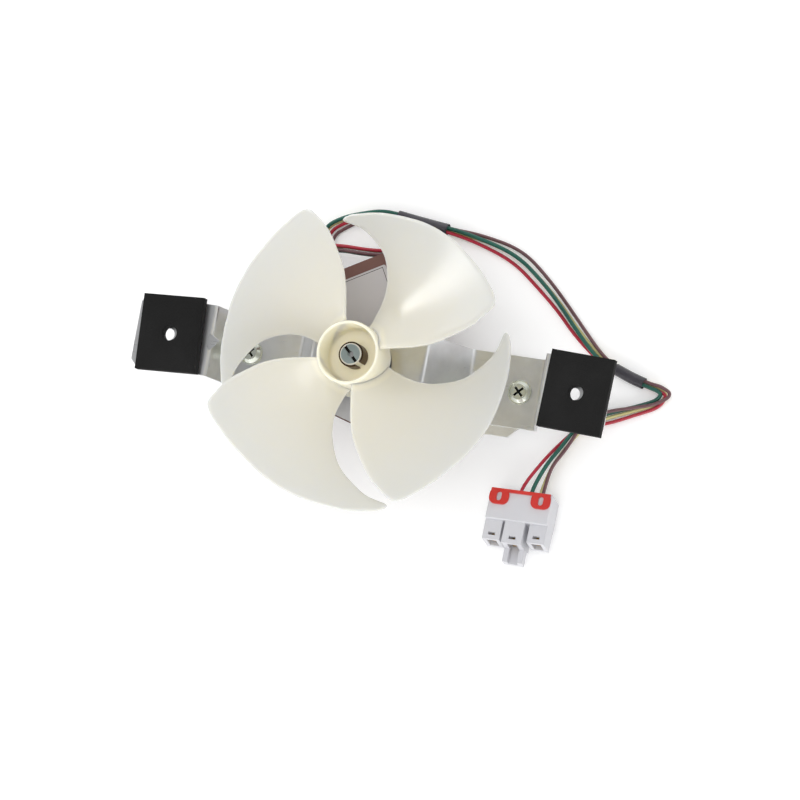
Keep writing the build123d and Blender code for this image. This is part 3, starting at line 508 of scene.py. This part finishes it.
def mesh_piece(name: str, verts: np.ndarray, faces: Sequence[Sequence[int]], body: str,
               material: bpy.types.Material) -> bpy.types.Object:
    """Make a smooth-shaded piece from arrays.

    Args:
        name: the piece's name.
        verts: points in metres, one a row.
        faces: vertex numbers of each face.
        body: the CAD body that it rides on.
        material: its finish.

    Returns:
        The new object, linked, riding and painted.
    """
    mesh = bpy.data.meshes.new(name)
    mesh.from_pydata(verts.tolist(), [], [list(f) for f in faces])
    mesh.polygons.foreach_set("use_smooth", [True] * len(mesh.polygons))
    mesh.materials.append(material)
    mesh.validate()
    piece = bpy.data.objects.new(name, mesh)
    bpy.context.scene.collection.objects.link(piece)
    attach(piece, body)
    log.info("piece %s: %d points", name, len(verts))
    return piece


# Steps of an edge's curve between two knots
KNOT_STEPS = 24
# The propeller: hub wall and tip circle, and a blade's fall from its trailing edge
HUB_R = 11.65
TIP_R = 55.0
RIM_TOP = 60.0
BLADE_DROP = 2.9
BLADE_PITCH = 0.2395
BLADE_CAMBER = 3.0
BLADE_EASE = 1.6
BLADE_START = 26.4
BLADE_SWEEP = 83.1
# A blade's plan as (share of the way from the hub's wall to the tip circle, degrees)
ROOT_SHARE = -0.018
TRAILING = ((-0.018, 17.0), (0.146, 13.5), (0.308, 12.8), (0.469, 14.2), (0.608, 16.9),
            (0.746, 19.3), (0.839, 21.3), (0.95, 24.4), (1.012, 26.0), (1.034, 27.6))
OUTER = ((1.034, 27.6), (1.04, 31.0), (1.022, 37.0), (1.008, 45.0), (1.0, 60.0), (0.997, 75.0),
         (0.998, 92.0), (1.0, 103.0), (0.998, 107.4), (0.98, 110.0))
LEADING = ((-0.018, 82.0), (0.1, 77.5), (0.262, 76.5), (0.446, 81.0), (0.654, 88.8), (0.839, 99.7),
           (0.915, 105.8), (0.95, 109.0), (0.98, 110.0))
# The hub's section as (radius, height), anticlockwise
HUB_SECTION = (
    (1.5, 43.4), (4.0, 43.4), (4.0, 46.7), (10.4, 46.7), (10.4, 43.4), (11.65, 43.4),
    (11.72, 50.0), (11.65, 59.3), (11.5, 59.8), (11.05, 60.0), (10.6, 59.8), (10.45, 59.3),
    (10.35, 49.8), (10.0, 49.0), (9.2, 48.5), (4.9, 48.5), (4.0, 48.9), (4.0, 55.5),
    (3.85, 55.8), (3.6, 55.8), (3.6, 54.2), (1.5, 54.2),
)


def curve_through(knots: np.ndarray, count: int) -> np.ndarray:
    """Sample a Catmull-Rom curve through plan points, evenly along its length.

    Between knots b and c, with neighbours a and d, a point at share s is half of
    2b + (c - a)s + (2a - 5b + 4c - d)s^2 + (3b - a - 3c + d)s^3.

    Args:
        knots: plan points, one a row.
        count: how many samples.

    Returns:
        The samples, one a row, ends included.
    """
    padded = np.vstack([2 * knots[0] - knots[1], knots, 2 * knots[-1] - knots[-2]])
    steps = np.linspace(0, 1, KNOT_STEPS, endpoint=False)[:, None]
    dense = []
    for a, b, c, d in zip(padded[:-3], padded[1:-2], padded[2:-1], padded[3:]):
        square = (2 * a - 5 * b + 4 * c - d) * steps**2
        cube = (3 * b - a - 3 * c + d) * steps**3
        dense.append(0.5 * (2 * b + (c - a) * steps + square + cube))
    line = np.vstack(dense + [knots[-1:]])
    return along(line, np.linspace(0, 1, count))


def closed_grid(rows: int, cols: int) -> list[list[int]]:
    """Faces of a grid of points that closes on itself both ways, like a ring's."""
    here = np.arange(rows * cols).reshape(rows, cols)
    beside, onward = np.roll(here, -1, axis=1), np.roll(here, -1, axis=0)
    faces = np.stack([here, beside, np.roll(onward, -1, axis=1), onward], axis=-1)
    return faces.reshape(-1, 4).tolist()


def along(line: np.ndarray, shares: np.ndarray) -> np.ndarray:
    """Points of a polyline at the given shares of its length."""
    run = np.concatenate([[0.0], np.cumsum(np.linalg.norm(np.diff(line, axis=0), axis=1))])
    return np.column_stack([np.interp(shares * run[-1], run, column) for column in line.T])


@dataclass
class Propeller:
    """The propeller in one moulding: patches between each blade's edges and a lathed hub."""

    blades: int = 4
    ribs: int = 6
    half_thick: float = 0.7
    edge_half: float = 0.12
    edge_run: float = 1.1
    flare: float = 0.35
    flare_run: float = 0.9
    edge_samples: int = 400
    round_passes: int = 60
    rim_stride: int = 3
    slope_step: float = 0.05
    crowding: float = 0.75
    sharp_over: float = 40.0
    rib_reach: tuple[float, float] = (3.9, 10.5)
    rib_sides: tuple[float, float] = (-0.5, 0.5)
    rib_levels: tuple[float, float] = (44.0, 46.8)
    across: int = 44
    outward: int = 48
    turns: int = 96
    verts: list = field(default_factory=list)
    faces: list = field(default_factory=list)

    def add(self, points: np.ndarray, faces: Sequence[Sequence[int]]) -> None:
        """Append a part of the mesh."""
        start = sum(len(v) for v in self.verts)
        self.verts.append(points)
        self.faces += [tuple(start + k for k in face) for face in faces]

    @staticmethod
    def plan(knots: Sequence[tuple[float, float]]) -> np.ndarray:
        """Plan points in millimetres from shares and degrees."""
        share, angle = np.array(knots).T
        r = HUB_R + share * (TIP_R - HUB_R)
        return np.column_stack([r * np.cos(np.radians(angle)), r * np.sin(np.radians(angle))])

    @staticmethod
    def level(x: np.ndarray, y: np.ndarray) -> np.ndarray:
        """Height of a blade's middle surface: a helical fall with a belly, kept below the rim."""
        r = np.hypot(x, y)
        angle = np.degrees(np.arctan2(y, x))
        run = (angle - BLADE_START) / BLADE_SWEEP
        belly = BLADE_CAMBER * (r / TIP_R) ** 2 * 4 * run * (1 - run)
        half = (BLADE_DROP + BLADE_PITCH * (angle - BLADE_START) + belly) / 2
        return RIM_TOP - half - np.hypot(half, BLADE_EASE)

    def edges(self) -> tuple[np.ndarray, np.ndarray, np.ndarray]:
        """Trailing, outer and leading edges as dense lines whose shared corners are rounded."""
        knots = (TRAILING, OUTER, LEADING)
        lines = [curve_through(self.plan(line), self.edge_samples) for line in knots]
        loop = np.vstack([lines[0], lines[1][1:], lines[2][::-1][1:]])
        corners = (len(lines[0]) - 1, len(lines[0]) + len(lines[1]) - 2)
        for _ in range(self.round_passes):
            loop[1:-1] = (loop[:-2] + 2 * loop[1:-1] + loop[2:]) / 4
        start, end = corners
        return loop[: start + 1], loop[start : end + 1], loop[end:][::-1]

    def graded(self, count: int) -> np.ndarray:
        """Shares from 0 to 1 that crowd toward both ends."""
        even = np.linspace(0, 1, count)
        return (1 - self.crowding) * even + self.crowding * (1 - np.cos(pi * even)) / 2

    def blade(self) -> tuple[np.ndarray, list]:
        """One blade as a closed shell: top and bottom grids and a strip round them.

        The plan is a Coons patch: the two blends of opposite edges, less the blend of the
        corners. The shell lies to both sides of the middle surface, and its thickness falls
        along a quarter circle to the edge and flares at the hub.

        Returns:
            The points, one a row, and the faces.
        """
        trail, outer, lead = self.edges()
        u, v = self.graded(self.outward), self.graded(self.across)
        low, far, high = along(trail, u), along(outer, v), along(lead, u)
        a0, a1 = (np.arctan2(p[0][1], p[0][0]) for p in (low, high))
        root_r = HUB_R + ROOT_SHARE * (TIP_R - HUB_R)
        turn = a0 + v * (a1 - a0)
        root = root_r * np.column_stack([np.cos(turn), np.sin(turn)])
        s, w = u[None, :, None], v[:, None, None]
        patch = (1 - w) * low[None] + w * high[None] + (1 - s) * root[:, None] + s * far[:, None]
        patch -= (1 - w) * ((1 - s) * low[0] + s * low[-1])
        patch -= w * ((1 - s) * high[0] + s * high[-1])
        x, y = patch[..., 0], patch[..., 1]
        z = self.level(x, y)
        step = self.slope_step
        slope_x = (self.level(x + step, y) - self.level(x - step, y)) / (2 * step)
        slope_y = (self.level(x, y + step) - self.level(x, y - step)) / (2 * step)
        normal = np.stack([-slope_x, -slope_y, np.ones_like(z)], axis=-1)
        normal /= np.linalg.norm(normal, axis=-1, keepdims=True)
        rim = np.vstack([trail, outer, lead])[:: self.rim_stride]
        spread = patch.reshape(-1, 1, 2) - rim[None]
        gap = np.sqrt((spread**2).sum(-1)).min(1).reshape(z.shape)
        near = 1 - np.clip(gap / self.edge_run, 0, 1)
        thick = self.edge_half + (self.half_thick - self.edge_half) * np.sqrt(1 - near**2)
        thick += self.flare * np.exp(-np.clip(np.hypot(x, y) - HUB_R, 0, None) / self.flare_run)
        middle = np.stack([x, y, z], axis=-1)
        top = (middle + normal * thick[..., None]).reshape(-1, 3)
        bottom = (middle - normal * thick[..., None]).reshape(-1, 3)
        index = np.arange(z.size).reshape(z.shape)
        cells = np.stack([index[:-1, :-1], index[:-1, 1:], index[1:, 1:], index[1:, :-1]], axis=-1)
        cells = cells.reshape(-1, 4)
        ring = np.concatenate([index[0, :-1], index[:-1, -1], index[-1, :0:-1], index[:0:-1, 0]])
        after = np.roll(ring, -1)
        strip = np.column_stack([z.size + ring, z.size + after, after, ring])
        faces = np.vstack([cells, z.size + cells[:, ::-1], strip])
        return np.vstack([top, bottom]), faces.tolist()

    def lathe(self) -> None:
        """The hub: its section turned round the shaft."""
        section = np.array(HUB_SECTION)
        turn = np.linspace(0, 2 * pi, self.turns, endpoint=False)
        r, z = section[:, 0][:, None], section[:, 1][:, None]
        grid = np.stack([r * np.cos(turn), r * np.sin(turn), z + 0 * turn], axis=-1)
        self.add(grid.reshape(-1, 3), closed_grid(r.size, turn.size))

    def rib(self, angle: float) -> None:
        """One of the hub's ribs, from the collar to the wall behind the ledge."""
        corners = list(product(self.rib_reach, self.rib_sides, self.rib_levels))
        sides = [(0, 1, 3, 2), (4, 6, 7, 5), (0, 4, 5, 1), (2, 3, 7, 6), (0, 2, 6, 4), (1, 5, 7, 3)]
        self.add(np.array(corners) @ turn_about_shaft(angle), sides)

    def build(self, material: bpy.types.Material) -> bpy.types.Object:
        """Make the propeller and hide its plain CAD solid."""
        points, faces = self.blade()
        for k in range(self.blades):
            self.add(points @ turn_about_shaft(360.0 / self.blades * k), faces)
        self.lathe()
        for k in range(self.ribs):
            self.rib(360.0 / self.ribs * k)
        verts = np.vstack(self.verts) * MM
        piece = mesh_piece("propeller", verts, self.faces, BODY_TURNING, material)
        piece.data.set_sharp_from_angle(angle=radians(self.sharp_over))
        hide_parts("impeller")
        return piece


def turn_about_shaft(angle: float) -> np.ndarray:
    """A matrix that turns row points by an angle in degrees about the shaft."""
    c, s = cos(radians(angle)), sin(radians(angle))
    return np.array([[c, s, 0.0], [-s, c, 0.0], [0.0, 0.0, 1.0]])


class Ring(Enum):
    """Where a point of a pad's section lies."""

    RIM = "rim"
    MIDWAY = "midway"
    HOLE = "hole"


@dataclass
class FoamPad:
    """A die-cut foam square glued on a tab, with soft edges and a punched hole."""

    node: str
    centre: tuple[float, float]
    turn: float
    size: tuple[float, float] = (23.8, 28.4)
    hole: float = 2.75
    floor: float = 32.7
    top: float = 36.7
    soft: float = 0.35
    lip: float = 0.12
    edge_inset: float = 0.4
    around: int = 96

    def reach(self, ring: Ring, inset: float, angles: np.ndarray) -> np.ndarray:
        """Distance from the hole's middle, in every direction, of one line of the section.

        Args:
            ring: the square's rim, the hole, or halfway between them.
            inset: how far the line is taken into the foam.
            angles: the directions.

        Returns:
            One distance for each direction.
        """
        if ring is Ring.HOLE:
            return np.full_like(angles, self.hole + inset)
        if ring is Ring.MIDWAY:
            return (self.reach(Ring.RIM, self.edge_inset, angles) + self.hole) / 2
        half_x, half_y = (length / 2 - inset for length in self.size)
        level = np.maximum(abs(np.cos(angles)), 1e-6)
        upright = np.maximum(abs(np.sin(angles)), 1e-6)
        return np.minimum(half_x / level, half_y / upright)

    def build(self, material: bpy.types.Material) -> bpy.types.Object:
        """Loft the section round the hole: bottom, edge, top, then down the hole."""
        corner = atan2(self.size[1], self.size[0])
        even = 2 * pi * np.arange(self.around) / self.around
        angles = np.unique(
            np.round(np.append(even, [corner, pi - corner, pi + corner, 2 * pi - corner]), 6)
        )
        high = self.top - self.floor
        # (line, inset, height) from the glued face round the edge and down the hole
        section = (
            (Ring.RIM, 0.25, 0.0), (Ring.RIM, 0.0, self.soft), (Ring.RIM, 0.06, high / 2),
            (Ring.RIM, 0.0, high - self.soft), (Ring.RIM, self.lip, high - self.lip),
            (Ring.RIM, self.edge_inset, high), (Ring.MIDWAY, 0.0, high - 0.05),
            (Ring.HOLE, 0.35, high), (Ring.HOLE, 0.1, high - self.lip),
            (Ring.HOLE, 0.0, high - self.soft), (Ring.HOLE, 0.0, 0.0),
        )
        out = np.array([self.reach(ring, inset, angles) for ring, inset, _ in section])
        level = np.array([z for _, _, z in section])[:, None] + 0 * angles
        grid = np.stack([out * np.cos(angles), out * np.sin(angles), level], axis=-1)
        grid = grid @ turn_about_shaft(self.turn)
        grid = grid + np.array([self.centre[0], self.centre[1], self.floor])
        faces = closed_grid(*out.shape)
        verts = grid.reshape(-1, 3) * MM
        piece = mesh_piece(self.node + "_foam", verts, faces, BODY_STILL, material)
        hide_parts(self.node)
        return piece


@dataclass
class Wire:
    """One insulated wire of the harness, a tube on a smooth spline through its route."""

    node: str
    route: Sequence[Point]
    diameter: float
    slot: str
    with_pieces: list = field(default_factory=list)

    def build(self, material: bpy.types.Material) -> bpy.types.Object:
        curve = bpy.data.curves.new(self.node + "_run", "CURVE")
        curve.dimensions = "3D"
        curve.bevel_depth = self.diameter * MM / 2
        curve.bevel_resolution = 5
        curve.use_fill_caps = True
        curve.resolution_u = 8
        spline = curve.splines.new("NURBS")
        points = mm(self.route)
        spline.points.add(len(points) - 1)
        for control, point in zip(spline.points, points):
            control.co = (*point, 1.0)
        spline.order_u = 3
        spline.use_endpoint_u = True
        curve.materials.append(material)
        piece = bpy.data.objects.new(self.node + "_run", curve)
        bpy.context.scene.collection.objects.link(piece)
        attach(piece, BODY_STILL)
        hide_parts(self.node)
        log.info("wire %s: %.0f mm", self.node, spline_length(points) / MM)
        return piece


def spline_length(points: Sequence[Vector]) -> float:
    """Length of the quadratic spline with the given control points, by short chords."""
    knots = [points[0]] + [(a + b) / 2 for a, b in zip(points[1:-2], points[2:-1])] + [points[-1]]
    total = 0.0
    for start, corner, end in zip(knots[:-1], points[1:-1], knots[1:]):
        shares = [k / 8 for k in range(9)]
        steps = [start.lerp(corner, s).lerp(corner.lerp(end, s), s) for s in shares]
        total += sum((b - a).length for a, b in zip(steps[:-1], steps[1:]))
    return total


@dataclass(frozen=True)
class StudioCamera:
    """The photograph's camera, fitted to the part's own points."""

    place: Point = (430.8, -152.1, 1394.6)
    right: Point = (0.94618, 0.17688, -0.27101)
    up: Point = (-0.14170, 0.97931, 0.14444)
    lens: float = 176.8
    sensor: float = 36.0
    sight: float = 20.0

    def build(self) -> bpy.types.Object:
        """Create the camera and make it the scene's."""
        data = bpy.data.cameras.new("studio_camera")
        data.lens = self.lens
        data.sensor_width = self.sensor
        data.clip_end = self.sight
        camera = bpy.data.objects.new("studio_camera", data)
        right = Vector(self.right).normalized()
        up = Vector(self.up)
        up = (up - right * up.dot(right)).normalized()
        back = right.cross(up)
        turn = Matrix((right, up, back)).transposed().to_4x4()
        camera.matrix_world = Matrix.Translation(Vector(self.place) * MM) @ turn
        bpy.context.scene.collection.objects.link(camera)
        bpy.context.scene.camera = camera
        return camera


@dataclass(frozen=True)
class Softbox:
    """An area lamp aimed at the fan; one that throws no glare isn't mirrored in surfaces."""

    name: str
    place: Point
    size: tuple[float, float]
    watts: float
    glare: bool = True
    roll: float = 0.0

    def build(self) -> bpy.types.Object:
        """Create the lamp, facing the fan's middle."""
        data = bpy.data.lights.new(self.name, "AREA")
        data.shape = "RECTANGLE"
        data.size, data.size_y = self.size
        data.energy = self.watts
        lamp = bpy.data.objects.new(self.name, data)
        lamp.location = self.place
        aim = Vector(LAMP_AIM) - Vector(self.place)
        turn = aim.to_track_quat("-Z", "Y") @ Quaternion((0.0, 0.0, 1.0), radians(self.roll))
        lamp.rotation_euler = turn.to_euler()
        lamp.visible_glossy = self.glare
        bpy.context.scene.collection.objects.link(lamp)
        return lamp


SOFTBOXES = (
    Softbox("top_box", (0.1, 0.0, 1.6), (1.2, 1.2), 9.5, glare=False),
    Softbox("key_strip", (-1.01, 0.91, 0.75), (0.14, 0.85), 2.8, roll=20.0),
    Softbox("low_box", (0.1, -1.5, 0.8), (1.2, 0.9), 7.5),
)


# Share of the way from the horizon to overhead, and the surround's grey there
SKY_LEVELS = ((0.0, 1.0), (0.6, 0.85), (0.86, 0.36), (1.0, 0.28))
SKY_STRENGTH = 1.15
# How much the camera sees the floor lifted toward white, so that its shadow stays faint
FLOOR_LIFT = 0.14
# Half of the floor's side and its depth under the fan, in metres
FLOOR_HALF = 4.0
FLOOR_UNDER = 0.0002


def build_stage() -> None:
    """A pale floor under the fan and a surround that is white at the horizon and grey overhead."""
    graph = ShaderGraph("floor_paper")
    grain = graph.add("ShaderNodeGroup", node_tree=grain_group())
    graph.set(grain, Scale=900.0, Bump=0.01)
    tint = graph.ramp([(0.3, (0.93, 0.93, 0.93)), (0.7, (0.95, 0.95, 0.95))])
    graph.link(grain, "Slow", tint, "Fac")
    graph.link(tint, "Color", graph.shader, "Base Color")
    graph.set(graph.shader, Roughness=0.9, Specular_IOR_Level=0.1)
    graph.shader.inputs["Emission Color"].default_value = (1.0, 1.0, 1.0, 1.0)
    ray = graph.add("ShaderNodeLightPath")
    lift = graph.maths("MULTIPLY", ray.outputs["Is Camera Ray"], FLOOR_LIFT)
    graph.tree.links.new(lift, graph.shader.inputs["Emission Strength"])
    mesh = bpy.data.meshes.new("floor")
    signs = ((-1, -1), (1, -1), (1, 1), (-1, 1))
    corners = [(x * FLOOR_HALF, y * FLOOR_HALF, -FLOOR_UNDER) for x, y in signs]
    mesh.from_pydata(corners, [], [(0, 1, 2, 3)])
    mesh.materials.append(graph.material)
    floor = bpy.data.objects.new("floor", mesh)
    bpy.context.scene.collection.objects.link(floor)
    world = bpy.data.worlds.new("studio_surround")
    world.use_nodes = True
    tree = world.node_tree
    sky = tree.nodes["Background"]
    place = tree.nodes.new("ShaderNodeTexCoord")
    split = tree.nodes.new("ShaderNodeSeparateXYZ")
    height = tree.nodes.new("ShaderNodeValToRGB")
    stops = height.color_ramp.elements
    for level, _ in SKY_LEVELS[1:-1]:
        stops.new(level)
    for stop, (level, grey) in zip(stops, SKY_LEVELS):
        stop.position = level
        stop.color = (grey, grey, grey, 1.0)
    tree.links.new(place.outputs["Generated"], split.inputs["Vector"])
    tree.links.new(split.outputs["Z"], height.inputs["Fac"])
    tree.links.new(height.outputs["Color"], sky.inputs["Color"])
    sky.inputs["Strength"].default_value = SKY_STRENGTH
    bpy.context.scene.world = world


def paint_nodes(frame: dict, finishes: dict[str, bpy.types.Material]) -> None:
    """Give each CAD node the finish of its record slot."""
    slots = {part["node"]: part["material_slot"] for part in frame["record"]["subparts"]}
    for name, node in frame["nodes"].items():
        material = finishes[slots[name]]
        if not node.material_slots:
            node.data.materials.append(material)
        for place in node.material_slots:
            place.material = material


def main() -> None:
    """Load the frame, dress it, light it and set up the camera."""
    logging.basicConfig(level=logging.INFO, format="%(name)s %(message)s")
    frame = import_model()
    finishes = build_finishes()
    paint_nodes(frame, finishes)
    FoamPad("left_pad", (-76.9, 0.1), 3.25).build(finishes["foam"])
    FoamPad("right_pad", (79.9, 0.15), -2.0).build(finishes["foam"])
    Propeller().build(finishes["fan_ivory"])
    nodes = frame["nodes"]
    on_wires = [
        nodes[name]
        for name in ("connector_housing", "connector_retainer", "connector_terminals",
                     "harness_sleeve_upper", "harness_sleeve_lower")
    ]
    plug = nodes["connector_housing"]
    for wire in (
        Wire("wire_red", RED_ROUTE, THIN_WIRE, "wire_red", on_wires),
        Wire("wire_green", GREEN_ROUTE, THICK_WIRE, "wire_green", [plug]),
        Wire("wire_yellow", YELLOW_ROUTE, THIN_WIRE, "wire_yellow", [plug]),
        Wire("wire_brown", BROWN_ROUTE, THIN_WIRE, "wire_brown", [plug]),
    ):
        wire.build(finishes[wire.slot])
    build_stage()
    for box in SOFTBOXES:
        box.build()
    StudioCamera().build()
    bpy.context.scene.view_settings.view_transform = "Standard"


if __name__ == "__main__":
    main()
